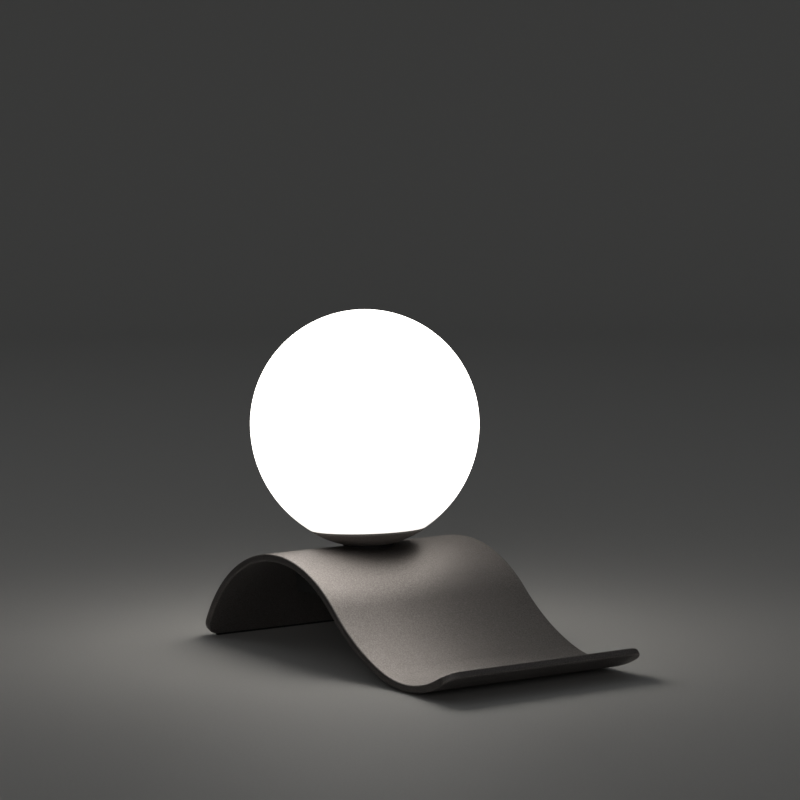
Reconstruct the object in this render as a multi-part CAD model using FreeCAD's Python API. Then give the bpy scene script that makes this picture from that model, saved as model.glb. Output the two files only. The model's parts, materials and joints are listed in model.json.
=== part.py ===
import FreeCAD, Part
import math
import os
from FreeCAD import Vector

# Table lamp: an opal glass globe in a shallow metal cup, on the hump of a thick wave-bent plate.
# Millimetres, +Z up. The origin is on the table, under the middle of the lamp's outline.
# X runs from the leg end of the plate to its raised tip, Y runs along the hump.
# The plate is first drawn with its hump centred on X = 0. Everything on the lamp's head is drawn
# in the head's own frame: its origin is where the head's axis meets the plate's top surface, its Z
# runs up that axis, and what hangs under the hump has a negative Z there.

# Bent plate
plate_width = 151.0
plate_thickness = 5.0
crest_height = 66.1
hump_radius = 98.0
slope_radius = 146.8
trough_radius = 76.8
trough_start_angle = math.radians(17.8)
tip_angle = math.radians(35.3)
corner_radius = 10.0
edge_radius = 1.5

# Feet
foot_height = 0.8
foot_pad_radius = 6.0
foot_pad_inset = 16.0
leg_strip_inset = 0.9

# Head
head_lean = math.radians(3.0)

# Glass globe
globe_radius = 75.0
globe_centre_height = 79.3
glass_thickness = 3.0
shoulder_inset = 0.3
shoulder_edge_radius = 1.4
neck_radius = 24.0
neck_length = 5.4
neck_edge_radius = 1.0

# Cup under the globe
cup_rim_radius = 38.3
cup_rim_height = 10.2
cup_foot_radius = 17.0
cup_floor_height = 0.9
cup_wall = 1.6
cup_rim_edge_radius = 0.5
seat_ring_height = 0.6
seat_ring_inset = 0.4

# Hollow threaded rod that ties the cup, the plate and the wiring housing together
rod_radius = 5.0
rod_bore_radius = 4.0
rod_end_length = 1.0
rod_hole_clearance = 0.2
thread_clearance = 0.05
nut_across_flats = 14.0
nut_height = 3.0
washer_radius = 9.0
washer_thickness = 0.8
washer_teeth = 12
tooth_gap_width = 1.2
tooth_gap_depth = 2.0

# Spring spider that grips the inside of the globe's neck
spider_disc_gap = 0.3
spider_thickness = 0.6
spider_arms = 3
spider_arm_width = 7.0
spider_arm_height = 11.0
spider_grip_gap = 0.3
spider_tip_draw_in = 2.0

# Lamp holder and its bracket
pin_pitch = 9.0
holder_length = 22.0
holder_width = 15.0
holder_height = 18.0
holder_floor = 2.0
holder_edge_radius = 3.0
holder_gap_over_bracket = 7.7
slot_length = 4.4
slot_width = 2.2
bracket_thickness = 1.2
bracket_width = 13.0
bracket_arm_height = 18.0
bracket_bend_radius = 1.4
bracket_screw_height = 14.0
contact_thickness = 0.4
contact_width = 3.0
contact_height = 13.0
contact_gap = 0.05

# Small machine screws
small_screw_radius = 1.45
small_screw_head_radius = 2.75
small_screw_head_height = 1.8
small_screw_length = 5.0
screw_clearance = 0.05
screw_head_edge_radius = 0.6
drive_slot_width = 0.7
drive_slot_depth = 0.8

# Push-in light source
lamp_radius = 8.0
lamp_base_height = 12.0
lamp_base_edge_radius = 1.0
lamp_cover_height = 32.0
lamp_cover_wall = 0.8
lamp_seat_gap = 0.2
core_width = 8.0
core_height = 26.0
core_edge_radius = 0.5
led_width = 2.8
led_height = 3.5
led_thickness = 0.7
leds_per_side = 6
pin_wire_radius = 0.45
pin_loop_width = 2.6
pin_length = 13.4

# Wiring housing under the hump
housing_length = 56.0
housing_width = 84.0
housing_wall = 2.0
housing_depth = 22.0
housing_corner_radius = 6.0
cover_thickness = 2.0
cover_edge_radius = 1.0
boss_radius = 3.6
boss_overlap = 0.3
boss_screw_depth = 8.0
nut_boss_radius = 10.0
nut_boss_depth = 0.6
cover_screw_cone_depth = 1.4

# Cable inlet in the housing's far wall
cable_bore_radius = 3.1
inlet_neck_radius = 4.5
inlet_flange_radius = 6.2
inlet_flange_thickness = 2.0
inlet_flange_chamfer = 0.6
seat_clearance = 0.05

# Terminal block
pole_pitch = 8.0
block_margin = 5.0
block_width = 16.0
block_height = 11.0
block_edge_radius = 0.8
block_pad_depth = 5.0
block_offset = 22.0
tube_radius = 2.5
tube_bore_radius = 1.3
tube_length = 12.0
terminal_screw_radius = 1.45
terminal_screw_spacing = 7.0
terminal_screw_recess = 0.6
terminal_hole_radius = 1.9
block_screw_radius = 1.2
block_screw_head_radius = 2.1
block_screw_head_height = 1.5
block_screw_grip = 3.0

# Push switch in the housing's cover
switch_offset = 24.0
switch_body_radius = 8.0
switch_body_height = 11.0
switch_wall = 1.2
switch_floor = 1.0
switch_neck_radius = 6.0
switch_neck_length = 5.0
switch_nut_radius = 8.4
switch_nut_height = 2.0
switch_nut_grips = 18
switch_grip_radius = 0.5
button_radius = 4.9
button_clearance = 0.08
button_flange_radius = 6.2
button_flange_height = 1.0
button_travel = 2.5
button_lip = 0.3
button_floor = 2.0
button_edge_radius = 0.8
spring_wire_radius = 0.3
spring_mean_radius = 2.7
spring_turns = 7
spring_pocket_clearance = 0.4
spring_gap = 0.05
tab_width = 4.0
tab_thickness = 0.8
tab_length = 5.5
tab_spacing = 6.0

# Inner leads
lead_radius = 1.0
lead_spacing_in_rod = 2.8
tag_inner_clearance = 0.1
tag_ring_radius = 8.0
tag_length = 14.0
tag_width = 5.0

# Bend angles of the plate: the hump comes down until the leg end, and until the trough's slope,
# both reach the level that the feet hold off the table
plate_rise = crest_height - foot_height
leg_angle = math.acos((hump_radius - plate_rise) / (hump_radius - plate_thickness))
slope_start_angle = math.acos(
    (hump_radius + slope_radius * math.cos(trough_start_angle)
     + trough_radius * (1.0 - math.cos(trough_start_angle)) - plate_rise + plate_thickness)
    / (hump_radius + slope_radius))
hump_centre = Vector(0, 0, crest_height - hump_radius)

# The cup's wall is part of a ball through its foot's edge and its rim
cup_inner_floor = cup_floor_height + cup_wall
cup_centre_height = ((cup_rim_radius ** 2 - cup_foot_radius ** 2 + cup_rim_height ** 2
                      - cup_floor_height ** 2) / (2 * (cup_rim_height - cup_floor_height)))
cup_radius = math.hypot(cup_rim_radius, cup_centre_height - cup_rim_height)
cup_inner_radius = cup_radius - cup_wall
cup_inner_rim_radius = math.sqrt(cup_inner_radius ** 2 - (cup_centre_height - cup_rim_height) ** 2)
cup_inner_floor_radius = math.sqrt(cup_inner_radius ** 2 - (cup_centre_height - cup_inner_floor) ** 2)

# The globe's lower half is drawn with a larger arc, from its widest height to its shoulder on the cup
shoulder_height = cup_rim_height + seat_ring_height
shoulder_radius = cup_rim_radius - shoulder_inset
shoulder_drop = globe_centre_height - shoulder_height
lower_arc_offset = ((shoulder_drop ** 2 + shoulder_radius ** 2 - globe_radius ** 2)
                    / (2 * (globe_radius - shoulder_radius)))

# Heights on the head's axis, up from the plate's top surface
neck_bottom = shoulder_height - neck_length
spider_top = cup_inner_floor + spider_thickness
top_nut_bottom = spider_top + washer_thickness
bracket_bottom = top_nut_bottom + nut_height
bracket_top = bracket_bottom + bracket_thickness
rod_top = bracket_top + rod_end_length
holder_bottom = bracket_top + holder_gap_over_bracket
holder_top = holder_bottom + holder_height
lamp_bottom = holder_top + lamp_seat_gap
lamp_base_top = lamp_bottom + lamp_base_height

# Heights under the hump, also on the head's axis
housing_ceiling = -plate_thickness - housing_wall
housing_rim = -plate_thickness - housing_depth
cover_bottom = housing_rim - cover_thickness
nut_boss_bottom = housing_ceiling - nut_boss_depth
tag_top = nut_boss_bottom - washer_thickness
bottom_nut_top = tag_top - washer_thickness
bottom_nut_bottom = bottom_nut_top - nut_height
rod_bottom = bottom_nut_bottom - rod_end_length
block_top = housing_ceiling - block_pad_depth
block_bottom = block_top - block_height
pole_height = (block_top + block_bottom) / 2
inlet_height = pole_height
chamber_floor = housing_rim + switch_floor
switch_top = housing_rim + switch_body_height
chamber_top = switch_top - switch_wall
switch_neck_bottom = housing_rim - switch_neck_length
button_bottom = switch_neck_bottom - button_travel - button_lip
button_flange_bottom = chamber_floor + button_clearance
button_flange_top = button_flange_bottom + button_flange_height
spring_bottom = button_bottom + button_floor + spring_gap
spring_top = chamber_top - spring_gap


# Shared shapes

def hump_point(radius, angle):
    """Point on a circle about the hump's centre, at an angle from the vertical."""
    return hump_centre + Vector(radius * math.sin(angle), 0, radius * math.cos(angle))


def dip_point(centre, radius, angle):
    """Point on the underside of a circle, at an angle from straight down."""
    return centre + Vector(radius * math.sin(angle), 0, -radius * math.cos(angle))


def arc_edge(start, middle, end):
    return Part.Arc(start, middle, end).toShape()


def polygon_edges(points):
    return [Part.makeLine(a, b) for a, b in zip(points[:-1], points[1:])]


def block(x_from, x_to, y_from, y_to, z_from, z_to):
    corner = Vector(x_from, y_from, z_from)
    return Part.makeBox(x_to - x_from, y_to - y_from, z_to - z_from, corner)


def upright_block(length, width, z_from, z_to, radius, centre_y=0.0):
    """Block about the axis, with its upright edges rounded."""
    shape = block(-length / 2, length / 2, centre_y - width / 2, centre_y + width / 2, z_from, z_to)
    upright = [edge for edge in shape.Edges if abs(edge.tangentAt(edge.FirstParameter).z) > 0.9]
    return shape.makeFillet(radius, upright)


def cylinder(radius, z_from, z_to, x=0.0, y=0.0):
    return Part.makeCylinder(radius, z_to - z_from, Vector(x, y, z_from), Vector(0, 0, 1))


def ring(outer, inner, z_from, z_to, x=0.0, y=0.0):
    return cylinder(outer, z_from, z_to, x, y).cut(cylinder(inner, z_from - 1, z_to + 1, x, y))


def turned(edges):
    """Solid turned about Z from a closed outline in the XZ plane."""
    face = Part.Face(Part.Wire(edges))
    return face.revolve(Vector(0, 0, 0), Vector(0, 0, 1), 360)


def turned_outline(points):
    return turned(polygon_edges([Vector(r, 0, z) for r, z in points + points[:1]]))


def side_arc(centre_x, centre_z, radius, drop_from, drop_to):
    """Arc in the XZ plane on a circle's +X side, between two depths under its centre."""
    start, end = -math.asin(drop_from / radius), -math.asin(drop_to / radius)
    return arc_edge(*[Vector(centre_x + radius * math.cos(a), 0, centre_z + radius * math.sin(a))
                      for a in (start, (start + end) / 2, end)])


def round_edges(shape, radius, picks):
    """Fillet the circular edges that lie at the given radius and height pairs."""
    chosen = []
    for edge in shape.Edges:
        if edge.Degenerated or edge.Curve.TypeId != "Part::GeomCircle":
            continue
        for r, z in picks:
            if abs(edge.Curve.Radius - r) < 0.01 and abs(edge.Curve.Center.z - z) < 0.01:
                chosen.append(edge)
    return shape.makeFillet(radius, chosen)


def hexagon(across_flats, z_from, z_to):
    corner = across_flats / 2 / math.cos(math.pi / 6)
    points = [Vector(corner * math.cos(i * math.pi / 3), corner * math.sin(i * math.pi / 3), z_from)
              for i in range(7)]
    prism = Part.Face(Part.makePolygon(points)).extrude(Vector(0, 0, z_to - z_from))
    chamfer = turned_outline([(0, z_from), (across_flats / 2, z_from),
                              (corner, z_from + (corner - across_flats / 2) / 2),
                              (corner, z_to - (corner - across_flats / 2) / 2),
                              (across_flats / 2, z_to), (0, z_to)])
    return prism.common(chamfer)


def corner_arc(start, corner, end):
    """Arc that leaves start towards the corner and arrives at end from it, both equally far off."""
    way_in = (corner - start).normalize()
    way_out = (end - corner).normalize()
    half_turn = way_in.getAngle(way_out) / 2
    arc_radius = (corner - start).Length / math.tan(half_turn)
    inward = (way_out - way_in).normalize()
    middle = corner + inward * (arc_radius / math.cos(half_turn) - arc_radius)
    return arc_edge(start, middle, end)


def tube_along(edges, radius):
    """Round tube along a smooth path."""
    first = edges[0]
    way = first.tangentAt(first.FirstParameter)
    section = Part.makeCircle(radius, first.valueAt(first.FirstParameter), way)
    return Part.Wire(edges).makePipeShell([Part.Wire([section])], True, False)


def bent_tube(points, radius):
    """Round tube along straight runs joined by tangent arcs as large as the runs allow."""
    edges = []
    last = points[0]
    for before, corner, after in zip(points[:-2], points[1:-1], points[2:]):
        reach = 0.45 * min((corner - before).Length, (after - corner).Length)
        start = corner + (before - corner).normalize() * reach
        end = corner + (after - corner).normalize() * reach
        edges.append(Part.makeLine(last, start))
        edges.append(corner_arc(start, corner, end))
        last = end
    edges.append(Part.makeLine(last, points[-1]))
    return tube_along(edges, radius)


def coil_edges(radius, pitch, turns):
    """Coil about Z, rising from the origin's level, as a pair of tangent arcs to each quarter turn."""
    quarter = math.pi / 2
    rise = pitch / (2 * math.pi)
    edges = []
    for i in range(round(4 * turns)):
        ends = [Vector(radius * math.cos(a), radius * math.sin(a), rise * a)
                for a in (i * quarter, (i + 1) * quarter)]
        ways = [Vector(-radius * math.sin(a), radius * math.cos(a), rise).normalize()
                for a in (i * quarter, (i + 1) * quarter)]
        chord = ends[1] - ends[0]
        along = chord.dot(ways[0] + ways[1])
        bend = 2 * (1 - ways[0].dot(ways[1]))
        reach = (math.sqrt(along ** 2 + bend * chord.dot(chord)) - along) / bend
        corners = [ends[0] + ways[0] * reach, ends[1] - ways[1] * reach]
        join = (corners[0] + corners[1]) / 2
        edges += [corner_arc(ends[0], corners[0], join), corner_arc(join, corners[1], ends[1])]
    return edges


def drive_slot(radius, z_face, depth, direction, x=0.0, y=0.0):
    """Screwdriver slot cut into a face at z_face, in the direction given by its sign."""
    z_from = min(z_face, z_face + direction * depth)
    return block(x - radius, x + radius, y - drive_slot_width / 2, y + drive_slot_width / 2,
                 z_from, z_from + depth)


def group(shapes):
    return Part.makeCompound(shapes)


def on_head(shape):
    """Move a shape from the head's frame to its place on the hump."""
    placed = shape.copy()
    placed.rotate(Vector(0, 0, 0), Vector(0, 1, 0), -math.degrees(head_lean))
    placed.translate(hump_point(hump_radius, -head_lean))
    return placed


def under_hump(radius_drop, half_length, half_width):
    """Everything under the hump's own curve, drop lower than its underside, in the head's frame."""
    radius = hump_radius - plate_thickness - radius_drop
    start = Vector(0, -half_width, -hump_radius)
    drum = Part.makeCylinder(radius, 2 * half_width, start, Vector(0, 1, 0))
    return drum.common(block(-half_length, half_length, -half_width, half_width, -hump_radius, 0))


# Bent plate and its feet

def trough_centre():
    slope = hump_point(hump_radius + slope_radius, slope_start_angle)
    offset = slope_radius - trough_radius
    return slope + Vector(-offset * math.sin(trough_start_angle), 0, -offset * math.cos(trough_start_angle))


def plate_outline():
    slope = hump_point(hump_radius + slope_radius, slope_start_angle)
    trough = trough_centre()
    hump_turn = (-leg_angle, (slope_start_angle - leg_angle) / 2, slope_start_angle)
    slope_turn = (-slope_start_angle, -(slope_start_angle + trough_start_angle) / 2, -trough_start_angle)
    trough_turn = (-trough_start_angle, (tip_angle - trough_start_angle) / 2, tip_angle)
    under = plate_thickness
    top = [[hump_point(hump_radius, a) for a in hump_turn],
           [dip_point(slope, slope_radius, a) for a in slope_turn],
           [dip_point(trough, trough_radius, a) for a in trough_turn]]
    bottom = [[dip_point(trough, trough_radius + under, a) for a in reversed(trough_turn)],
              [dip_point(slope, slope_radius + under, a) for a in reversed(slope_turn)],
              [hump_point(hump_radius - under, a) for a in reversed(hump_turn)]]
    edges = [arc_edge(*points) for points in top]
    edges.append(Part.makeLine(top[-1][2], bottom[0][0]))
    edges += [arc_edge(*points) for points in bottom]
    edges.append(Part.makeLine(bottom[-1][2], top[0][0]))
    return edges


def plate_end_corners():
    """The four corners of the plate's outline, at the leg end and at the tip."""
    trough = trough_centre()
    return [hump_point(hump_radius, -leg_angle), hump_point(hump_radius - plate_thickness, -leg_angle),
            dip_point(trough, trough_radius, tip_angle),
            dip_point(trough, trough_radius + plate_thickness, tip_angle)]


def make_wave_plate():
    face = Part.Face(Part.Wire(plate_outline()))
    face.translate(Vector(0, -plate_width / 2, 0))
    plate = face.extrude(Vector(0, plate_width, 0))
    ends = plate_end_corners()
    upright = []
    for edge in plate.Edges:
        straight = edge.Curve.TypeId == "Part::GeomLine"
        if straight and abs(edge.tangentAt(edge.FirstParameter).y) < 0.001:
            upright.append(edge)
    plate = plate.makeFillet(corner_radius, upright)
    rim = []
    for edge in plate.Edges:
        if edge.Curve.TypeId == "Part::GeomLine":
            middle = edge.valueAt((edge.FirstParameter + edge.LastParameter) / 2)
            flat = Vector(middle.x, 0, middle.z)
            along_width = abs(edge.tangentAt(edge.FirstParameter).y) > 0.999
            if not along_width or min((flat - corner).Length for corner in ends) > 0.1:
                continue
        rim.append(edge)
    plate = plate.makeFillet(edge_radius, rim)
    hole = cylinder(rod_radius + rod_hole_clearance, -2 * plate_thickness, plate_thickness)
    return plate.cut(on_head(hole))


def make_leg_strip(plate):
    """Soft strip under the leg's cut end, which fills the wedge between it and the table."""
    outer, inner = plate_end_corners()[:2]
    reach = plate_width / 2 - corner_radius
    strip = block(outer.x + leg_strip_inset, inner.x - leg_strip_inset, -reach, reach, 0, outer.z)
    return strip.cut(plate)


def make_foot_pads(plate):
    """Two soft pads under the trough, one near each side of the plate."""
    x = trough_centre().x
    y = plate_width / 2 - foot_pad_inset
    top = foot_height + plate_thickness / 2
    return group([cylinder(foot_pad_radius, 0, top, x, side * y).cut(plate) for side in (-1, 1)])


# Cup, globe and what ties them to the plate

def make_saddle_washer():
    """Washer between the cup's flat foot and the curved hump."""
    disc = cylinder(cup_foot_radius - seat_ring_inset, -plate_thickness, cup_floor_height)
    start = Vector(0, -globe_radius, -hump_radius)
    hump = Part.makeCylinder(hump_radius, 2 * globe_radius, start, Vector(0, 1, 0))
    hole = cylinder(rod_radius + rod_hole_clearance, -2 * plate_thickness, plate_thickness)
    return disc.cut(hump).cut(hole)


def rim_round(wall_radius, side):
    """Small arc from the cup's outer wall (side -1) or inner wall (side 1) to its flat rim."""
    ball_centre = Vector(0, 0, cup_centre_height)
    reach = wall_radius + side * cup_rim_edge_radius
    drop = cup_centre_height - cup_rim_height + cup_rim_edge_radius
    centre = Vector(math.sqrt(reach ** 2 - drop ** 2), 0, cup_centre_height - drop)
    to_wall = (centre - ball_centre).normalize() * -side * cup_rim_edge_radius
    to_rim = Vector(0, 0, cup_rim_edge_radius)
    to_middle = (to_wall + to_rim).normalize() * cup_rim_edge_radius
    return arc_edge(centre + to_wall, centre + to_middle, centre + to_rim)


def make_socket_cup():
    hole = rod_radius + rod_hole_clearance
    edges = []
    rim_points = []
    for radius, floor, side in ((cup_radius, cup_floor_height, -1), (cup_inner_radius, cup_inner_floor, 1)):
        rounding = rim_round(radius, side)
        wall_end, rim_end = [vertex.Point for vertex in rounding.Vertexes]
        edges.append(side_arc(0, cup_centre_height, radius, cup_centre_height - floor,
                              cup_centre_height - wall_end.z))
        edges.append(rounding)
        rim_points.append(rim_end)
    edges += polygon_edges(rim_points)
    edges += polygon_edges([Vector(cup_foot_radius, 0, cup_floor_height), Vector(hole, 0, cup_floor_height),
                            Vector(hole, 0, cup_inner_floor),
                            Vector(cup_inner_floor_radius, 0, cup_inner_floor)])
    return turned(Part.__sortEdges__(edges))


def make_seat_ring():
    margin = cup_rim_edge_radius + seat_ring_inset
    return ring(cup_rim_radius - margin, cup_inner_rim_radius + margin, cup_rim_height, shoulder_height)


def make_glass_globe():
    """Ball with a flat shoulder that sits on the cup's rim, and a neck that reaches into the cup."""
    inner = globe_radius - glass_thickness
    shelf = shoulder_height + glass_thickness
    neck_inside = neck_radius - glass_thickness
    edges = []
    for radius, lower_end in ((globe_radius, shoulder_height), (inner, shelf)):
        edges.append(side_arc(0, globe_centre_height, radius, -radius, 0))
        edges.append(side_arc(-lower_arc_offset, globe_centre_height, radius + lower_arc_offset, 0,
                              globe_centre_height - lower_end))
    shelf_end = edges[-1].Vertexes[-1].Point
    edges += polygon_edges([Vector(0, 0, globe_centre_height + inner),
                            Vector(0, 0, globe_centre_height + globe_radius)])
    edges += polygon_edges([Vector(shoulder_radius, 0, shoulder_height),
                            Vector(neck_radius, 0, shoulder_height), Vector(neck_radius, 0, neck_bottom),
                            Vector(neck_inside, 0, neck_bottom), Vector(neck_inside, 0, shelf), shelf_end])
    glass = turned(Part.__sortEdges__(edges))
    glass = round_edges(glass, shoulder_edge_radius, [(shoulder_radius, shoulder_height)])
    return round_edges(glass, neck_edge_radius, [(neck_radius, neck_bottom), (neck_inside, neck_bottom)])


def make_threaded_rod():
    return ring(rod_radius, rod_bore_radius, rod_bottom, rod_top)


def make_nut(z_from):
    hole = cylinder(rod_radius + thread_clearance, z_from - 1, z_from + nut_height + 1)
    return hexagon(nut_across_flats, z_from, z_from + nut_height).cut(hole)


def make_lock_washer(z_from):
    """Washer with teeth around its rim."""
    z_to = z_from + washer_thickness
    washer = ring(washer_radius, rod_radius + rod_hole_clearance, z_from, z_to)
    gap = block(washer_radius - tooth_gap_depth, washer_radius + 1, -tooth_gap_width / 2,
                tooth_gap_width / 2, z_from - 1, z_to + 1)
    gaps = []
    for i in range(washer_teeth):
        turned_gap = gap.copy()
        turned_gap.rotate(Vector(0, 0, 0), Vector(0, 0, 1), i * 360.0 / washer_teeth)
        gaps.append(turned_gap)
    return washer.cut(group(gaps))


def make_spring_spider():
    """Sprung disc whose arms stand up inside the globe's neck and bow out towards it."""
    disc_radius = cup_inner_floor_radius - spider_disc_gap
    disc = ring(disc_radius, rod_radius + rod_hole_clearance, cup_inner_floor, spider_top)
    room = neck_radius - glass_thickness - spider_grip_gap
    bulge = math.sqrt(room ** 2 - (spider_arm_width / 2) ** 2)
    foot = disc_radius - spider_thickness
    top = cup_inner_floor + spider_arm_height
    middle = (cup_inner_floor + top) / 2
    tip = bulge - spider_tip_draw_in
    outer = arc_edge(Vector(disc_radius, 0, cup_inner_floor), Vector(bulge, 0, middle),
                     Vector(tip, 0, top))
    inner = arc_edge(Vector(foot, 0, spider_top), Vector(bulge - spider_thickness, 0, middle),
                     Vector(tip - spider_thickness, 0, top))
    outline = [outer, inner]
    outline += polygon_edges([Vector(disc_radius, 0, cup_inner_floor), Vector(foot, 0, cup_inner_floor),
                              Vector(foot, 0, spider_top)])
    outline += polygon_edges([Vector(tip, 0, top), Vector(tip - spider_thickness, 0, top)])
    face = Part.Face(Part.Wire(Part.__sortEdges__(outline)))
    face.translate(Vector(0, -spider_arm_width / 2, 0))
    arm = face.extrude(Vector(0, spider_arm_width, 0))
    spider = disc
    for i in range(spider_arms):
        turned_arm = arm.copy()
        turned_arm.rotate(Vector(0, 0, 0), Vector(0, 0, 1), 90 + i * 360.0 / spider_arms)
        spider = spider.fuse(turned_arm)
    return spider.removeSplitter()


# Lamp holder

def bracket_half_length():
    return holder_length / 2 + bracket_thickness


def bracket_screw_z():
    return bracket_bottom + bracket_screw_height


def cross_edges(shape, z):
    """The shape's straight edges along Y at this height."""
    low = [edge for edge in shape.Edges if edge.BoundBox.ZMax < z + 0.1]
    return [edge for edge in low if abs(edge.tangentAt(edge.FirstParameter).y) > 0.9]


def make_holder_bracket():
    """U-shaped strap, screwed onto the threaded rod, with an arm on each side of the holder."""
    half = bracket_half_length()
    top = holder_bottom + bracket_arm_height - holder_gap_over_bracket
    outline = block(-half, half, -bracket_width / 2, bracket_width / 2, bracket_bottom, top)
    outer_bend = bracket_bend_radius + bracket_thickness
    outline = outline.makeFillet(outer_bend, cross_edges(outline, bracket_bottom))
    inside = block(-holder_length / 2, holder_length / 2, -bracket_width, bracket_width,
                   bracket_top, top + 1)
    strap = outline.cut(inside.makeFillet(bracket_bend_radius, cross_edges(inside, bracket_top)))
    hole = cylinder(rod_radius + thread_clearance, bracket_bottom - 1, bracket_top + 1)
    screw_hole = Part.makeCylinder(small_screw_radius + screw_clearance, 2 * half + 2,
                                   Vector(-half - 1, 0, bracket_screw_z()), Vector(1, 0, 0))
    return strap.cut(hole).cut(screw_hole)


def make_holder_body():
    body = upright_block(holder_length, holder_width, holder_bottom, holder_top, holder_edge_radius)
    cuts = []
    for side in (-1, 1):
        x = side * pin_pitch / 2
        cuts.append(block(x - slot_width / 2, x + slot_width / 2, -slot_length / 2, slot_length / 2,
                          holder_bottom + holder_floor, holder_top + 1))
        cuts.append(cylinder(lead_radius + screw_clearance, holder_bottom - 1,
                             holder_bottom + holder_floor + 0.1, x))
        start = Vector(side * (holder_length / 2 + 1), 0, bracket_screw_z())
        cuts.append(Part.makeCylinder(small_screw_radius + screw_clearance,
                                      small_screw_length - bracket_thickness + 1,
                                      start, Vector(-side, 0, 0)))
    return body.cut(group(cuts))


def make_holder_screws():
    """Two screws that fix the bracket's arms to the holder."""
    screws = []
    for side in (-1, 1):
        screw = cylinder(small_screw_radius, -small_screw_length, 0)
        rim = (small_screw_head_radius, small_screw_head_height)
        head = round_edges(cylinder(rim[0], 0, rim[1]), screw_head_edge_radius, [rim])
        screw = screw.fuse(head).cut(drive_slot(rim[0], rim[1], drive_slot_depth, -1))
        screw.rotate(Vector(0, 0, 0), Vector(0, 1, 0), 90 * side)
        screw.translate(Vector(side * bracket_half_length(), 0, bracket_screw_z()))
        screws.append(screw)
    return group(screws)


def make_holder_contacts():
    """A springy U for each pin, standing on the floor of its slot."""
    contacts = []
    z_from = holder_bottom + holder_floor
    gap = pin_wire_radius + contact_gap
    for side in (-1, 1):
        x = side * pin_pitch / 2
        outer = block(x - gap - contact_thickness, x + gap + contact_thickness,
                      -contact_width / 2, contact_width / 2, z_from, z_from + contact_height)
        space = block(x - gap, x + gap, -contact_width, contact_width,
                      z_from + contact_thickness, z_from + contact_height + 1)
        contacts.append(outer.cut(space))
    return group(contacts)


# Push-in light source

def make_lamp_base():
    base = cylinder(lamp_radius, lamp_bottom, lamp_base_top)
    return round_edges(base, lamp_base_edge_radius, [(lamp_radius, lamp_bottom)])


def make_lamp_pins():
    """Two wire loops that push into the holder."""
    loops = []
    half = pin_loop_width / 2 - pin_wire_radius
    low = lamp_bottom - pin_length + pin_wire_radius
    for side in (-1, 1):
        x = side * pin_pitch / 2
        path = Part.Wire([
            Part.makeLine(Vector(x, -half, lamp_bottom), Vector(x, -half, low + half)),
            arc_edge(Vector(x, -half, low + half), Vector(x, 0, low), Vector(x, half, low + half)),
            Part.makeLine(Vector(x, half, low + half), Vector(x, half, lamp_bottom))])
        section = Part.makeCircle(pin_wire_radius, Vector(x, -half, lamp_bottom), Vector(0, 0, -1))
        loops.append(path.makePipeShell([Part.Wire([section])], True, False))
    return group(loops)


def make_lamp_core():
    return upright_block(core_width, core_width, lamp_base_top, lamp_base_top + core_height,
                         core_edge_radius)


def make_lamp_leds():
    """Rows of small light-emitting chips on the four sides of the core."""
    chips = []
    step = core_height / leds_per_side
    for i in range(leds_per_side):
        z = lamp_base_top + (i + 0.5) * step
        for turn in range(4):
            chip = block(core_width / 2, core_width / 2 + led_thickness, -led_width / 2, led_width / 2,
                         z - led_height / 2, z + led_height / 2)
            chip.rotate(Vector(0, 0, 0), Vector(0, 0, 1), 90 * turn)
            chips.append(chip)
    return group(chips)


def make_lamp_cover():
    """Clear tube with a domed end over the core."""
    outer = lamp_radius
    inner = lamp_radius - lamp_cover_wall
    dome = lamp_base_top + lamp_cover_height - outer
    slant = math.sqrt(0.5)
    edges = [arc_edge(Vector(0, 0, dome + outer), Vector(outer * slant, 0, dome + outer * slant),
                      Vector(outer, 0, dome)),
             arc_edge(Vector(inner, 0, dome), Vector(inner * slant, 0, dome + inner * slant),
                      Vector(0, 0, dome + inner))]
    edges += polygon_edges([Vector(outer, 0, dome), Vector(outer, 0, lamp_base_top),
                            Vector(inner, 0, lamp_base_top), Vector(inner, 0, dome)])
    edges += polygon_edges([Vector(0, 0, dome + inner), Vector(0, 0, dome + outer)])
    return turned(Part.__sortEdges__(edges))


# Wiring housing

def boss_places():
    x = housing_length / 2 - housing_wall - boss_radius + boss_overlap
    y = housing_width / 2 - housing_wall - boss_radius + boss_overlap
    return [(sx * x, sy * y) for sx in (-1, 1) for sy in (-1, 1)]


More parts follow.
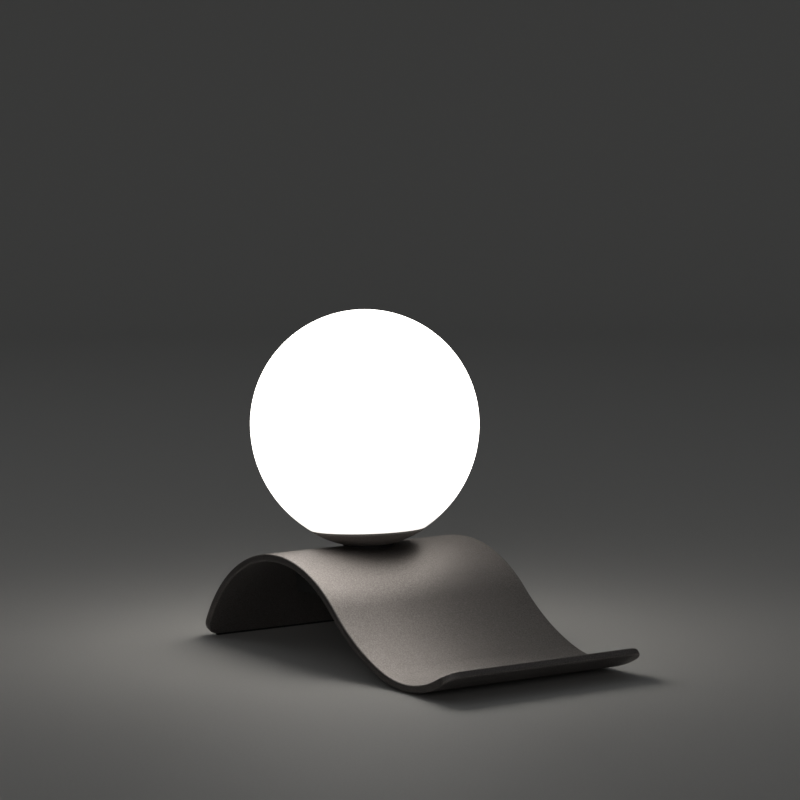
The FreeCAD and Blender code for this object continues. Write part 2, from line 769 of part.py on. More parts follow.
def make_wiring_housing():
    """Shell under the hump: its top follows the plate, and it is open underneath."""
    reach = housing_length + housing_width
    outer = upright_block(housing_length, housing_width, housing_rim, 0, housing_corner_radius)
    outer = outer.common(under_hump(0, reach, reach))
    inner_radius = max(housing_corner_radius - housing_wall, 0.5)
    hollow = upright_block(housing_length - 2 * housing_wall, housing_width - 2 * housing_wall,
                           housing_rim - 1, 0, inner_radius)
    hollow = hollow.common(under_hump(housing_wall, reach, reach))
    shell = outer.cut(hollow)
    inside = outer.common(under_hump(0, reach, reach))
    posts = [cylinder(boss_radius, housing_rim, 0, x, y).common(inside) for x, y in boss_places()]
    posts.append(cylinder(nut_boss_radius, nut_boss_bottom, 0).common(inside))
    pad_half = pole_pitch + block_margin
    posts.append(block(-pad_half, pad_half, block_offset - block_width / 2,
                       block_offset + block_width / 2, block_top, 0).common(inside))
    for post in posts:
        shell = shell.fuse(post)
    shell = shell.removeSplitter()
    cuts = [cylinder(rod_radius + rod_hole_clearance, housing_rim, 0)]
    for x, y in boss_places():
        cuts.append(cylinder(small_screw_radius + screw_clearance, housing_rim - 1,
                             housing_rim + boss_screw_depth, x, y))
    for side in (-1, 1):
        cuts.append(cylinder(block_screw_radius + screw_clearance, block_top - 1,
                             block_top + block_screw_grip, side * pole_pitch / 2, block_offset))
    cuts.append(Part.makeCylinder(inlet_neck_radius + seat_clearance, 4 * housing_wall,
                                  Vector(0, housing_width / 2 - 2 * housing_wall, inlet_height),
                                  Vector(0, 1, 0)))
    return shell.cut(group(cuts))


def make_housing_cover():
    cover = upright_block(housing_length, housing_width, cover_bottom, housing_rim, housing_corner_radius)
    low = [edge for edge in cover.Edges if edge.BoundBox.ZMax < cover_bottom + 0.01]
    cover = cover.makeFillet(cover_edge_radius, low)
    cuts = [cylinder(switch_neck_radius + seat_clearance, cover_bottom - 1, housing_rim + 1,
                     0, -switch_offset)]
    hole = small_screw_radius + screw_clearance
    mouth = small_screw_head_radius + screw_clearance
    for x, y in boss_places():
        cuts.append(cylinder(hole, cover_bottom - 1, housing_rim + 1, x, y))
        cuts.append(Part.makeCone(mouth, hole, cover_screw_cone_depth,
                                  Vector(x, y, cover_bottom), Vector(0, 0, 1)))
    return cover.cut(group(cuts))


def make_cover_screws():
    """Four countersunk screws, flush with the cover."""
    screws = []
    for x, y in boss_places():
        cone = Part.makeCone(small_screw_head_radius, small_screw_radius, cover_screw_cone_depth,
                             Vector(x, y, cover_bottom), Vector(0, 0, 1))
        shank = cylinder(small_screw_radius, cover_bottom + cover_screw_cone_depth,
                         housing_rim + boss_screw_depth - 1, x, y)
        screw = cone.fuse(shank)
        for turn in (0, 90):
            slot = drive_slot(small_screw_head_radius * 0.7, cover_bottom, drive_slot_depth, 1)
            slot.rotate(Vector(0, 0, 0), Vector(0, 0, 1), turn)
            slot.translate(Vector(x, y, 0))
            screw = screw.cut(slot)
        screws.append(screw)
    return group(screws)


def make_inlet_grommet():
    """Soft bush in the housing's far wall, where the cable goes in."""
    wall_outside = housing_width / 2
    wall_inside = wall_outside - housing_wall
    y_from = wall_inside - inlet_flange_thickness
    y_to = wall_outside + inlet_flange_thickness
    groove = seat_clearance
    cut = inlet_flange_chamfer
    outline = [(cable_bore_radius, y_from), (inlet_flange_radius - cut, y_from),
               (inlet_flange_radius, y_from + cut), (inlet_flange_radius, wall_inside - groove),
               (inlet_neck_radius, wall_inside - groove), (inlet_neck_radius, wall_outside + groove),
               (inlet_flange_radius, wall_outside + groove), (inlet_flange_radius, y_to - cut),
               (inlet_flange_radius - cut, y_to), (cable_bore_radius, y_to)]
    grommet = turned_outline(outline)
    grommet.rotate(Vector(0, 0, 0), Vector(1, 0, 0), -90)
    grommet.translate(Vector(0, 0, inlet_height))
    return grommet


# Terminal block

def pole_places():
    return [i * pole_pitch for i in (-1, 0, 1)]


def terminal_screw_places():
    return [(x, block_offset + side * terminal_screw_spacing / 2)
            for x in pole_places() for side in (-1, 1)]


def make_terminal_block():
    half = pole_pitch + block_margin
    body = block(-half, half, block_offset - block_width / 2, block_offset + block_width / 2,
                 block_bottom, block_top)
    low = [edge for edge in body.Edges if edge.BoundBox.ZMax < block_bottom + 0.01]
    body = body.makeFillet(block_edge_radius, low)
    cuts = []
    for x in pole_places():
        cuts.append(Part.makeCylinder(tube_radius + seat_clearance, block_width + 2,
                                      Vector(x, block_offset - block_width / 2 - 1, pole_height),
                                      Vector(0, 1, 0)))
    for x, y in terminal_screw_places():
        cuts.append(cylinder(terminal_hole_radius, block_bottom - 1, pole_height, x, y))
    for side in (-1, 1):
        cuts.append(cylinder(block_screw_radius + screw_clearance, block_bottom - 1, block_top + 1,
                             side * pole_pitch / 2, block_offset))
    return body.cut(group(cuts))


def make_terminal_tubes():
    tubes = []
    for x in pole_places():
        start = Vector(x, block_offset - tube_length / 2, pole_height)
        tube = Part.makeCylinder(tube_radius, tube_length, start, Vector(0, 1, 0))
        bore = Part.makeCylinder(tube_bore_radius, tube_length, start, Vector(0, 1, 0))
        holes = [cylinder(terminal_screw_radius + screw_clearance, pole_height - 2 * tube_radius,
                          pole_height, hx, hy) for hx, hy in terminal_screw_places()]
        tubes.append(tube.cut(bore).cut(group(holes)))
    return group(tubes)


def make_terminal_screws():
    screws = []
    tip = pole_height - lead_radius - screw_clearance
    foot = block_bottom + terminal_screw_recess
    for x, y in terminal_screw_places():
        screw = cylinder(terminal_screw_radius, foot, tip, x, y)
        screws.append(screw.cut(drive_slot(terminal_screw_radius, foot, drive_slot_depth, 1, x, y)))
    return group(screws)


def make_block_screws():
    screws = []
    for side in (-1, 1):
        x = side * pole_pitch / 2
        head = cylinder(block_screw_head_radius, block_bottom - block_screw_head_height, block_bottom,
                        x, block_offset)
        shank = cylinder(block_screw_radius, block_bottom, block_top + block_screw_grip - screw_clearance,
                         x, block_offset)
        slot = drive_slot(block_screw_head_radius, block_bottom - block_screw_head_height,
                          drive_slot_depth, 1, x, block_offset)
        screws.append(head.fuse(shank).cut(slot))
    return group(screws)


# Push switch

def make_switch_body():
    y = -switch_offset
    bore = button_radius + button_clearance
    body = cylinder(switch_body_radius, housing_rim, switch_top, 0, y)
    body = body.fuse(cylinder(switch_neck_radius, switch_neck_bottom, housing_rim, 0, y))
    chamber = cylinder(switch_body_radius - switch_wall, chamber_floor, chamber_top, 0, y)
    body = body.cut(chamber).cut(cylinder(bore, switch_neck_bottom - 1, chamber_floor + 1, 0, y))
    tabs = [tab_block(side, chamber_top - 1, switch_top + 1) for side in (-1, 1)]
    return body.cut(group(tabs))


def tab_block(side, z_from, z_to):
    x = side * tab_spacing / 2
    y = -switch_offset
    return block(x - tab_width / 2, x + tab_width / 2, y - tab_thickness / 2, y + tab_thickness / 2,
                 z_from, z_to)


def make_switch_tabs():
    return group([tab_block(side, chamber_top, switch_top + tab_length) for side in (-1, 1)])


def make_switch_nut():
    """Knurled ring that clamps the switch to the cover from outside."""
    z_from = cover_bottom - switch_nut_height
    nut = ring(switch_nut_radius, switch_neck_radius + thread_clearance, z_from, cover_bottom,
               0, -switch_offset)
    grips = []
    for i in range(switch_nut_grips):
        angle = i * 2 * math.pi / switch_nut_grips
        x = switch_nut_radius * math.cos(angle)
        y = -switch_offset + switch_nut_radius * math.sin(angle)
        grips.append(cylinder(switch_grip_radius, z_from - 1, cover_bottom + 1, x, y))
    return nut.cut(group(grips))


def make_switch_button():
    y = -switch_offset
    stem = cylinder(button_radius, button_bottom, button_flange_top)
    stem = round_edges(stem, button_edge_radius, [(button_radius, button_bottom)])
    stem.translate(Vector(0, y, 0))
    button = stem.fuse(cylinder(button_flange_radius, button_flange_bottom, button_flange_top, 0, y))
    pocket = spring_mean_radius + spring_wire_radius + spring_pocket_clearance
    return button.cut(cylinder(pocket, button_bottom + button_floor, button_flange_top + 1, 0, y))


def make_switch_spring():
    """Coil that pushes the button out, from the button's floor to the top of the switch."""
    pitch = (spring_top - spring_bottom - 2 * spring_wire_radius) / spring_turns
    coil = tube_along(coil_edges(spring_mean_radius, pitch, spring_turns), spring_wire_radius)
    coil.translate(Vector(0, -switch_offset, spring_bottom + spring_wire_radius))
    return coil


# Inner leads

def contact_end(side):
    return Vector(side * pin_pitch / 2, 0, holder_bottom + holder_floor)


def rod_run(side):
    """Points from a holder contact down through the threaded rod."""
    x = side * lead_spacing_in_rod / 2
    top = contact_end(side)
    drop = (holder_bottom - rod_top) * 0.3
    return [top, Vector(top.x, 0, holder_bottom - drop), Vector(x, 0, rod_top - drop)]


def pole_entry(x):
    """Where a lead stops inside a terminal tube, and two points before it."""
    y = block_offset - block_width / 2
    return [Vector(x, y - 5, pole_height - 0.6), Vector(x, y, pole_height),
            Vector(x, block_offset - terminal_screw_spacing / 2 + 2, pole_height)]


def tab_entry(side):
    """Where a lead meets a switch tab, and two points before it."""
    x = side * tab_spacing / 2
    y = -switch_offset + tab_thickness / 2
    z = switch_top + tab_length / 2
    return [Vector(x, y + 9, z - 1.5), Vector(x, y + 4, z), Vector(x, y, z)]


def make_switched_lead():
    """From a switch tab, up through the rod, to one contact of the holder."""
    x = -lead_spacing_in_rod / 2
    points = rod_run(-1)
    points += [Vector(x, -0.6, rod_bottom - 2), Vector(x + 1, -5, rod_bottom - 6)]
    points += tab_entry(1)
    return bent_tube(points, lead_radius)


def make_neutral_lead():
    """From the terminal block, up through the rod, to the holder's other contact."""
    x = lead_spacing_in_rod / 2
    points = rod_run(1)
    points += [Vector(x, 0.6, rod_bottom - 1), Vector(x - 0.6, 4, rod_bottom - 5)]
    points += pole_entry(0)
    return bent_tube(points, lead_radius)


def make_feed_lead():
    """From the terminal block, past the rod, to the other tab of the switch."""
    points = list(reversed(pole_entry(-pole_pitch)))
    points += [Vector(-pole_pitch - 2, 0, pole_height - 2), Vector(-pole_pitch + 1, -9, pole_height - 1)]
    points += tab_entry(-1)
    return bent_tube(points, lead_radius)


def make_earth_lead():
    """From the terminal block to the tag under the lower nut."""
    points = list(reversed(pole_entry(pole_pitch)))
    reach = tag_length - tag_width / 2
    points += [Vector(reach - 1, 4.5, pole_height - 0.5), Vector(reach, 0, pole_height + 3),
               Vector(reach, 0, tag_top - washer_thickness)]
    return bent_tube(points, lead_radius)


def make_earth_tag():
    """Ring tag under the lower nut, with a tongue for the earth lead."""
    z_from = tag_top - washer_thickness
    tag = cylinder(tag_ring_radius, z_from, tag_top)
    tongue = block(0, tag_length, -tag_width / 2, tag_width / 2, z_from, tag_top)
    hole = cylinder(rod_radius + tag_inner_clearance, z_from - 1, tag_top + 1)
    return tag.fuse(tongue).removeSplitter().cut(hole)


def build():
    """Every node of the lamp, by name, in place."""
    plate = make_wave_plate()
    nodes = {
        "wave_plate": plate,
        "leg_strip": make_leg_strip(plate),
        "foot_pads": make_foot_pads(plate),
    }
    head = {
        "saddle_washer": make_saddle_washer(),
        "socket_cup": make_socket_cup(),
        "globe_seat_ring": make_seat_ring(),
        "glass_globe": make_glass_globe(),
        "threaded_rod": make_threaded_rod(),
        "upper_nut": make_nut(top_nut_bottom),
        "lower_nut": make_nut(bottom_nut_bottom),
        "upper_lock_washer": make_lock_washer(spider_top),
        "lower_lock_washer": make_lock_washer(tag_top),
        "globe_spring_spider": make_spring_spider(),
        "holder_bracket": make_holder_bracket(),
        "lamp_holder": make_holder_body(),
        "holder_screws": make_holder_screws(),
        "holder_contacts": make_holder_contacts(),
        "lamp_base": make_lamp_base(),
        "lamp_pins": make_lamp_pins(),
        "lamp_core": make_lamp_core(),
        "lamp_leds": make_lamp_leds(),
        "lamp_cover": make_lamp_cover(),
        "wiring_housing": make_wiring_housing(),
        "housing_cover": make_housing_cover(),
        "cover_screws": make_cover_screws(),
        "inlet_grommet": make_inlet_grommet(),
        "terminal_block": make_terminal_block(),
        "terminal_tubes": make_terminal_tubes(),
        "terminal_screws": make_terminal_screws(),
        "block_screws": make_block_screws(),
        "switch_body": make_switch_body(),
        "switch_tabs": make_switch_tabs(),
        "switch_nut": make_switch_nut(),
        "switch_button": make_switch_button(),
        "switch_spring": make_switch_spring(),
        "switched_lead": make_switched_lead(),
        "neutral_lead": make_neutral_lead(),
        "feed_lead": make_feed_lead(),
        "earth_lead": make_earth_lead(),
        "earth_tag": make_earth_tag(),
    }
    for name, shape in head.items():
        nodes[name] = on_head(shape)
    box = plate.optimalBoundingBox(False, False)
    shift = Vector(-(box.XMin + box.XMax) / 2, 0, 0)
    for shape in nodes.values():
        shape.translate(shift)
    return nodes, shift


def main():
    os.makedirs("parts", exist_ok=True)
    nodes, shift = build()
    for name, shape in nodes.items():
        shape.exportStep(os.path.join("parts", name + ".step"))
        print(name, len(shape.Solids), round(shape.Volume, 1), shape.isValid())
    print("shift in X", round(shift.x, 4))


main()
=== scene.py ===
import json
import math

import bmesh
import bpy
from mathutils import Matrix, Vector


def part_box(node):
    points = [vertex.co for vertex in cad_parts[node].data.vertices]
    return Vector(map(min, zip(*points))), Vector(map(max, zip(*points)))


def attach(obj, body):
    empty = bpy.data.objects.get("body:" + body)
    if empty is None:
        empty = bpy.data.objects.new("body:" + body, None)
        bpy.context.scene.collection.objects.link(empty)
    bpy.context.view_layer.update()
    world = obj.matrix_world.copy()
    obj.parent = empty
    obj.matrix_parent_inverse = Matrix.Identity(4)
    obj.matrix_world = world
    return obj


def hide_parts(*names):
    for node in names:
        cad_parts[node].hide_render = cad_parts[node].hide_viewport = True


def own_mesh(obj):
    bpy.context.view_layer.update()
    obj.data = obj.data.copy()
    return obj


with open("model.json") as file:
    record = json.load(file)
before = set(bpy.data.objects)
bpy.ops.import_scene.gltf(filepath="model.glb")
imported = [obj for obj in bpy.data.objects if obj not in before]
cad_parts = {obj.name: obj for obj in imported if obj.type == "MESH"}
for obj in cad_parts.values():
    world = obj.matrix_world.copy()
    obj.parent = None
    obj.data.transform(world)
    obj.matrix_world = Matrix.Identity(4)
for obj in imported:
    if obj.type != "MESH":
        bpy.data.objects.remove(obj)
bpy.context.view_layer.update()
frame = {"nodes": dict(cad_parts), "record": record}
nodes = frame["nodes"]

# Camera from a fit of the outlines: angles in degrees, lens and sensor in millimetres
camera_place = Vector((1.6153, -1.1310, 0.3732))
camera_azimuth = 55.3
camera_pitch = 6.0
camera_lens = 139.7
camera_sensor = 36.0

# Glow of the globe, dimmer around its neck, with depths below the globe's top
glow_strength = 4.5
glow_colour = (1.0, 0.965, 0.91)
neck_glow_share = 0.27
neck_glow_depth = 0.138
full_glow_depth = 0.1

# Studio light
ambient_strength = 0.08
ambient_colour = (0.93, 0.97, 1.0)
softbox_power = 1.5
softbox_size = 1.6
softbox_place = Vector((-0.9, -0.5, 1.9))
fill_power = 4.0
fill_size = 0.9
fill_place = Vector((2.25, -1.9, 0.9))

# Floor: flat, then a wide curve up into an even backdrop all round
middle_radius = 0.05
floor_radius = 2.5
sweep_radius = 1.0
sweep_steps = 24
backdrop_height = 2.6
floor_sides = 128
floor_colour = (0.56, 0.551, 0.535)

# Powder coat of the plate and the cup; the cup's coat is lighter in colour, painted light for the light that
# the plate throws back onto it
coat_colour = (0.265, 0.2445, 0.235)
coat_roughness = 0.52
coat_metallic = 0.9
cup_painted_light_colour = (0.33, 0.3, 0.282)
cup_coat_metallic = 0.2
flake_colour = (0.5, 0.47, 0.43)
flake_share = 0.22

# Painted shade on the plate's narrow sides, with insets from the side faces
painted_side_shade = 0.5
painted_shade_start_inset = 0.001
painted_shade_full_inset = 0.0002

# Where most values of a noise lie
noise_range = (0.3, 0.7)


class Finish:
    """A material under construction: its node tree, its shader and its place on the object."""

    def __init__(self, name, colour, roughness, metallic=0.0, **sockets):
        self.material = bpy.data.materials.new(name)
        self.material.use_nodes = True
        self.tree = self.material.node_tree
        self.shader = self.tree.nodes["Principled BSDF"]
        self.set("Base Color", colour)
        self.set("Roughness", roughness)
        self.set("Metallic", metallic)
        for socket, value in sockets.items():
            self.set(socket.replace("_", " ").title().replace("Ior", "IOR"), value)
        self.place = self.tree.nodes.new("ShaderNodeTexCoord").outputs["Object"]
        self.normal = None

    def set(self, socket, value):
        """A constant on one of the shader's sockets."""
        if isinstance(value, tuple):
            value = (*value, 1.0)
        self.shader.inputs[socket].default_value = value

    def node(self, kind, links=(), **settings):
        """A node with these settings, and with each socket in links fed."""
        made = self.tree.nodes.new(kind)
        for key, value in settings.items():
            setattr(made, key, value)
        for socket, value in links:
            self.feed(made.inputs[socket], value)
        return made

    def feed(self, socket, value):
        """A link where the value is another node's output, and a constant otherwise."""
        if isinstance(value, bpy.types.NodeSocket):
            self.tree.links.new(value, socket)
        else:
            socket.default_value = value

    def along(self, axis):
        """The place along one axis of the object."""
        return self.node("ShaderNodeSeparateXYZ", [("Vector", self.place)]).outputs[axis]

    def noise(self, size, detail=3.0, rough=0.55, stretch=None):
        """Noise whose features are about this size, in metres, scaled by a factor along each axis."""
        place = self.place
        if stretch:
            place = self.node("ShaderNodeMapping", [("Vector", place), ("Scale", stretch)]).outputs[0]
        links = [("Vector", place), ("Scale", 1.0 / size), ("Detail", detail), ("Roughness", rough)]
        return self.node("ShaderNodeTexNoise", links).outputs["Fac"]

    def cells(self, size, output="Distance", feature="F1"):
        """Cells of about this size, in metres."""
        links = [("Vector", self.place), ("Scale", 1.0 / size)]
        return self.node("ShaderNodeTexVoronoi", links, feature=feature).outputs[output]

    def spread(self, value, low, high, at=noise_range):
        """The value's range at, mapped to low and high."""
        start, end = at
        links = [("Value", value), ("From Min", start), ("From Max", end), ("To Min", low), ("To Max", high)]
        return self.node("ShaderNodeMapRange", links).outputs[0]

    def tones(self, value, *colours, at=noise_range):
        """These colours in turn along the value, each at its position in at."""
        ramp = self.node("ShaderNodeValToRGB", [("Fac", value)])
        keys = ramp.color_ramp.elements
        while len(keys) < len(colours):
            keys.new(0.5)
        for key, position, colour in zip(keys, at, colours):
            key.position = position
            key.color = (*colour, 1.0)
        return ramp.outputs["Color"]

    def varied(self, value, base, dark, light):
        """The base colour, from its dark to its light shade along the value."""
        return self.tones(value, shade(base, dark), shade(base, light))

    def mixed(self, factor, first, second, blend="MIX"):
        """Two colours, each a node's output or a constant."""
        mix = self.node("ShaderNodeMix", data_type="RGBA", blend_type=blend)
        self.feed(mix.inputs["Factor"], factor)
        for socket, colour in (("A", first), ("B", second)):
            self.feed(mix.inputs[socket], (*colour, 1.0) if isinstance(colour, tuple) else colour)
        return mix.outputs["Result"]

    def maths(self, operation, first, second=0.0):
        """One step of arithmetic on one or two values."""
        return self.node("ShaderNodeMath", [(0, first), (1, second)], operation=operation).outputs[0]

    def colour(self, value):
        """The surface's colour, from a node's output."""
        self.feed(self.shader.inputs["Base Color"], value)

    def roughness(self, value):
        """The surface's roughness, from a node's output."""
        self.feed(self.shader.inputs["Roughness"], value)

    def relief(self, height, depth):
        """A bump of this height pattern and depth, in metres, on top of the ones before it."""
        bump = self.node("ShaderNodeBump", [("Height", height), ("Distance", depth), ("Strength", 1.0)])
        if self.normal:
            self.feed(bump.inputs["Normal"], self.normal)
        self.normal = bump.outputs["Normal"]
        self.feed(self.shader.inputs["Normal"], self.normal)


def shade(colour, factor):
    """The colour, darker or lighter by the factor."""
    return tuple(channel * factor for channel in colour)


def powder_coat(name, base, metallic):
    """Fine sandy powder coat with a metallic pigment, with painted shade on the plate's narrow sides."""
    finish = Finish(name, base, coat_roughness, metallic=metallic, specular_ior_level=0.5)
    sand = finish.noise(size=0.0009, detail=4.0, rough=0.6)
    clouds = finish.noise(size=0.035, detail=2.0)
    ripple = finish.noise(size=0.0045, detail=1.0)
    grit = finish.noise(size=0.0004, detail=1.0)
    flakes = finish.cells(size=0.00055, output="Color")
    flake = finish.node("ShaderNodeSeparateColor", [("Color", flakes)]).outputs[0]
    spark = finish.spread(flake, low=0.0, high=1.0, at=(0.86, 1.0))
    tone = finish.tones(sand, shade(base, 0.72), base, shade(base, 1.35), at=(0.28, 0.5, 0.74))
    tone = finish.mixed(finish.spread(clouds, low=0.0, high=0.35), tone, shade(base, 1.12))
    coat = finish.mixed(finish.maths("MULTIPLY", spark, flake_share), tone, flake_colour)
    # Painted shade: the plate's narrow sides darkened, from the first inset to full depth at the second
    half_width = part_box("wave_plate")[1][1]
    painted_shade_places = (half_width - painted_shade_start_inset, half_width - painted_shade_full_inset)
    side = finish.spread(finish.maths("ABSOLUTE", finish.along("Y")), low=0.0, high=1.0, at=painted_shade_places)
    finish.colour(finish.mixed(side, coat, (painted_side_shade, painted_side_shade, painted_side_shade), blend="MULTIPLY"))
    finish.roughness(finish.spread(sand, low=coat_roughness + 0.08, high=coat_roughness - 0.06))
    finish.relief(ripple, depth=0.00006)
    finish.relief(sand, depth=0.00011)
    finish.relief(grit, depth=0.00003)
    return finish.material


def opal_glass():
    """White glass, lit from inside, with a satin outside."""
    finish = Finish("opal_glass", (0.93, 0.925, 0.91), roughness=0.28, specular_ior_level=0.5,
                    coat_weight=0.25, coat_roughness=0.18, emission_color=glow_colour,
                    emission_strength=glow_strength)
    globe_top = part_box("glass_globe")[1][2]
    glow_heights = (globe_top - neck_glow_depth, globe_top - full_glow_depth)
    rise = finish.spread(finish.along("Z"), low=0.0, high=1.0, at=glow_heights)
    glow = finish.mixed(rise, shade(glow_colour, neck_glow_share), glow_colour)
    finish.feed(finish.shader.inputs["Emission Color"], glow)
    milk = finish.noise(size=0.05, detail=2.0)
    finish.colour(finish.tones(milk, (0.9, 0.895, 0.88), (0.95, 0.945, 0.935)))
    finish.roughness(finish.spread(finish.noise(size=0.012), low=0.24, high=0.33))
    finish.relief(finish.noise(size=0.03, detail=1.0), depth=0.00006)
    return finish.material


def rubber(name, base):
    """Dull rubber with a fine grain."""
    finish = Finish(name, base, roughness=0.75, specular_ior_level=0.35)
    grain = finish.noise(size=0.0012)
    finish.colour(finish.varied(grain, base, dark=0.75, light=1.3))
    finish.roughness(finish.spread(grain, low=0.68, high=0.86))
    finish.relief(grain, depth=0.00006)
    return finish.material


def moulded_plastic(name, base, gloss, depth=0.00005, shine=0.5):
    """Moulded plastic with a fine sparked texture, which mirrors less with a lower shine."""
    finish = Finish(name, base, gloss, specular_ior_level=shine)
    grain = finish.cells(size=0.0007)
    clouds = finish.noise(size=0.02)
    finish.colour(finish.varied(clouds, base, dark=0.9, light=1.1))
    finish.roughness(finish.spread(grain, low=gloss - 0.07, high=gloss + 0.1, at=(0.1, 0.8)))
    finish.relief(grain, depth)
    finish.relief(clouds, depth=0.00008)
    return finish.material


def plated_steel(name, base, roughness):
    """Drawn and plated steel with faint lines and a cloudy film."""
    finish = Finish(name, base, roughness, metallic=1.0)
    drawn = finish.noise(size=0.0004, detail=2.0, stretch=(1.0, 1.0, 0.06))
    film = finish.noise(size=0.006, detail=2.0)
    film_colour = (base[0] * 0.95, base[1] * 0.93, base[2] * 1.04)
    tone = finish.varied(drawn, base, dark=0.85, light=1.1)
    finish.colour(finish.mixed(finish.spread(film, low=0.0, high=0.3), tone, film_colour))
    finish.roughness(finish.spread(film, low=roughness - 0.06, high=roughness + 0.1))
    finish.relief(drawn, depth=0.00002)
    return finish.material


def brass():
    """Drawn brass with a slightly dull film."""
    finish = Finish("brass", (0.72, 0.52, 0.22), roughness=0.3, metallic=1.0)
    film = finish.noise(size=0.003)
    finish.colour(finish.tones(film, (0.62, 0.42, 0.17), (0.78, 0.58, 0.27)))
    finish.roughness(finish.spread(film, low=0.24, high=0.4))
    finish.relief(finish.noise(size=0.0005, stretch=(1.0, 0.08, 1.0)), depth=0.00002)
    return finish.material


def white_ceramic():
    """Glazed steatite, with a few specks and a slightly uneven glaze."""
    base = (0.84, 0.82, 0.77)
    speck_colour = (0.42, 0.36, 0.28)
    speck_share = 0.6
    finish = Finish("white_ceramic", base, roughness=0.22, specular_ior_level=0.55, coat_weight=0.4,
                    coat_roughness=0.1)
    specks = finish.spread(finish.noise(size=0.0006, detail=1.0), low=0.0, high=1.0, at=(0.72, 0.8))
    clouds = finish.varied(finish.noise(size=0.01), base, dark=0.95, light=1.04)
    finish.colour(finish.mixed(finish.maths("MULTIPLY", specks, speck_share), clouds, speck_colour))
    finish.roughness(finish.spread(finish.noise(size=0.004), low=0.16, high=0.3))
    finish.relief(finish.noise(size=0.0035, detail=1.0), depth=0.00008)
    return finish.material


def circuit_board():
    """White solder mask over copper, which shows faintly at its edges."""
    base = (0.88, 0.88, 0.85)
    finish = Finish("white_board", base, roughness=0.35, coat_weight=0.2)
    tracks = finish.cells(size=0.0022, feature="DISTANCE_TO_EDGE")
    finish.colour(finish.tones(tracks, shade(base, 0.9), base, at=(0.04, 0.09)))
    finish.roughness(finish.spread(finish.noise(size=0.001), low=0.3, high=0.42))
    finish.relief(tracks, depth=0.00003)
    return finish.material


def led_phosphor():
    """Yellow silicone over the chips, lit."""
    finish = Finish("led_phosphor", (0.93, 0.72, 0.2), roughness=0.3, emission_color=(1.0, 0.82, 0.5),
                    emission_strength=2.5, coat_weight=0.5)
    grain = finish.noise(size=0.0004)
    finish.colour(finish.tones(grain, (0.88, 0.64, 0.14), (0.97, 0.8, 0.3)))
    finish.relief(grain, depth=0.00003)
    return finish.material


def clear_cover():
    """Clear moulded tube."""
    finish = Finish("clear_cover", (0.97, 0.98, 0.985), roughness=0.04, ior=1.46, transmission_weight=1.0)
    finish.roughness(finish.spread(finish.noise(size=0.004), low=0.02, high=0.08))
    finish.relief(finish.noise(size=0.008, detail=1.0), depth=0.00003)
    return finish.material


def insulation(name, base, stripe=None):
    """Soft extruded insulation, with a stripe where the lead has one."""
    stripe_scale = 90.0
    finish = Finish(name, base, roughness=0.42, sheen_weight=0.1)
    grain = finish.noise(size=0.0006, detail=2.0)
    tone = finish.varied(grain, base, dark=0.88, light=1.12)
    if stripe:
        bands = [("Vector", finish.place), ("Scale", stripe_scale), ("Distortion", 0.0)]
        wave = finish.node("ShaderNodeTexWave", bands, bands_direction="DIAGONAL").outputs["Fac"]
        tone = finish.mixed(finish.spread(wave, low=0.0, high=1.0, at=(0.55, 0.6)), tone, stripe)
    finish.colour(tone)
    finish.roughness(finish.spread(grain, low=0.36, high=0.5))
    finish.relief(grain, depth=0.00002)
    return finish.material


finishes = {
    "powder_coat": powder_coat("powder_coat", coat_colour, coat_metallic),
    "opal_glass": opal_glass(),
    "black_rubber": rubber("black_rubber", (0.022, 0.021, 0.02)),
    "grey_silicone": rubber("grey_silicone", (0.3, 0.3, 0.29)),
    "zinc_steel": plated_steel("zinc_steel", (0.66, 0.67, 0.69), roughness=0.28),
    "spring_steel": plated_steel("spring_steel", (0.52, 0.51, 0.49), roughness=0.2),
    "black_steel": plated_steel("black_steel", (0.035, 0.035, 0.037), roughness=0.35),
    "nickel_contact": plated_steel("nickel_contact", (0.7, 0.66, 0.6), roughness=0.18),
    "brass": brass(),
    "white_ceramic": white_ceramic(),
    "black_plastic": moulded_plastic("black_plastic", (0.026, 0.0255, 0.025), gloss=0.62, shine=0.3),
    "grey_plastic": moulded_plastic("grey_plastic", (0.11, 0.11, 0.115), gloss=0.38, depth=0.00002),
    "white_plastic": moulded_plastic("white_plastic", (0.8, 0.8, 0.77), gloss=0.4),
    "white_board": circuit_board(),
    "led_phosphor": led_phosphor(),
    "clear_cover": clear_cover(),
    "brown_insulation": insulation("brown_insulation", (0.13, 0.05, 0.022)),
    "blue_insulation": insulation("blue_insulation", (0.02, 0.11, 0.4)),
    "green_yellow_insulation": insulation("green_yellow_insulation", (0.72, 0.62, 0.03),
                                          stripe=(0.03, 0.26, 0.05)),
}


def dress_nodes():
    """Give each node of the model the finish of its slot, and the cup its own lighter coat, painted light
    for the plate's bounce.
    """
    for part in frame["record"]["subparts"]:
        nodes[part["node"]].material_slots[0].material = finishes[part["material_slot"]]
    # Painted light: the cup's coat is lighter than the plate's, for the light bounced from the plate
    cup_painted_light_coat = powder_coat("cup_painted_light_coat", cup_painted_light_colour, cup_coat_metallic)
    nodes["socket_cup"].material_slots[0].material = cup_painted_light_coat


def make_return_spring():
    """A copy of the switch's spring, carried by the base, in place of the part."""
    solid = nodes["switch_spring"]
    spring = bpy.data.objects.new("return_spring", solid.data.copy())
    bpy.context.scene.collection.objects.link(spring)
    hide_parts("switch_spring")
    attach(spring, "base")
    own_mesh(spring)


def floor_finish():
    """Pale matt floor with a faint grain."""
    finish = Finish("floor", floor_colour, roughness=0.7, specular_ior_level=0.3)
    grain = finish.noise(size=0.0015, detail=2.0)
    finish.colour(finish.varied(grain, floor_colour, dark=0.97, light=1.03))
    return finish.material


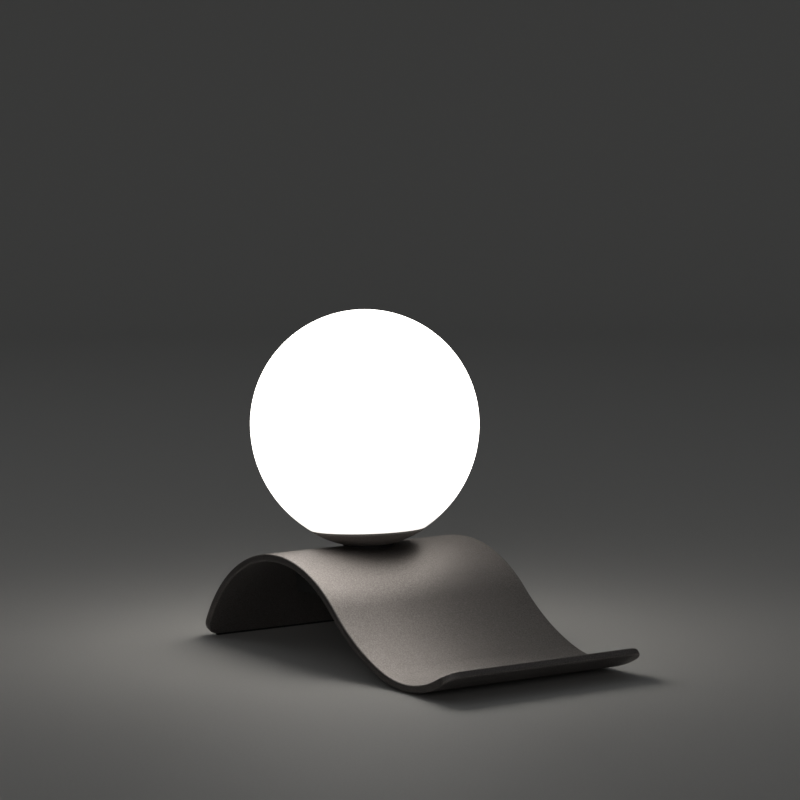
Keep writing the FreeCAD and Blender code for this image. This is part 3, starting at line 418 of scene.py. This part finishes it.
def floor_profile():
    """Radius and height along the floor, the sweep and the backdrop, from the middle outwards."""
    profile = [(middle_radius, 0.0), (floor_radius, 0.0)]
    for step in range(1, sweep_steps + 1):
        angle = math.pi / 2 * step / sweep_steps
        radius = floor_radius + sweep_radius * math.sin(angle)
        profile.append((radius, sweep_radius * (1 - math.cos(angle))))
    profile.append((floor_radius + sweep_radius, backdrop_height))
    return profile


def level_ring(work, radius, height):
    """A level ring of points about the vertical axis."""
    ring = []
    for side in range(floor_sides):
        angle = 2 * math.pi * side / floor_sides
        ring.append(work.verts.new((radius * math.cos(angle), radius * math.sin(angle), height)))
    return ring


def make_floor():
    """Flat disc that curves up into a round backdrop."""
    work = bmesh.new()
    rings = [level_ring(work, radius, height) for radius, height in floor_profile()]
    work.faces.new(rings[0])
    for low, high in zip(rings[:-1], rings[1:]):
        for side in range(floor_sides):
            following = (side + 1) % floor_sides
            work.faces.new((low[side], low[following], high[following], high[side]))
    bmesh.ops.recalc_face_normals(work, faces=work.faces)
    mesh = bpy.data.meshes.new("floor")
    work.to_mesh(mesh)
    work.free()
    for face in mesh.polygons:
        face.use_smooth = True
    mesh.materials.append(floor_finish())
    floor = bpy.data.objects.new("floor", mesh)
    bpy.context.scene.collection.objects.link(floor)


def aim(thing, direction):
    """Turn a light or a camera so that it looks along the direction."""
    thing.rotation_mode = "QUATERNION"
    thing.rotation_quaternion = direction.to_track_quat("-Z", "Y")


def area_light(name, power, size, place):
    """Square lamp that faces the origin."""
    light = bpy.data.lights.new(name, "AREA")
    light.energy = power
    light.size = size
    lamp = bpy.data.objects.new(name, light)
    lamp.location = place
    aim(lamp, -place)
    lamp.visible_camera = False
    bpy.context.scene.collection.objects.link(lamp)


def make_lights():
    """Even light through the backdrop's open top, a large lamp above and a fill from the camera's side."""
    world = bpy.data.worlds.new("studio")
    bpy.context.scene.world = world
    world.use_nodes = True
    background = world.node_tree.nodes["Background"]
    background.inputs["Color"].default_value = (*ambient_colour, 1.0)
    background.inputs["Strength"].default_value = ambient_strength
    area_light("softbox", softbox_power, softbox_size, softbox_place)
    area_light("fill", fill_power, fill_size, fill_place)


def make_camera():
    """Camera at the fitted place, which looks down by the pitch."""
    data = bpy.data.cameras.new("camera")
    data.sensor_width = camera_sensor
    data.lens = camera_lens
    camera = bpy.data.objects.new("camera", data)
    azimuth = math.radians(camera_azimuth)
    pitch = math.radians(camera_pitch)
    level = math.cos(pitch)
    camera.location = camera_place
    aim(camera, Vector((-math.sin(azimuth) * level, math.cos(azimuth) * level, -math.sin(pitch))))
    bpy.context.scene.collection.objects.link(camera)
    bpy.context.scene.camera = camera


bpy.context.scene.view_settings.view_transform = "Standard"
dress_nodes()
make_return_spring()
make_floor()
make_lights()
make_camera()
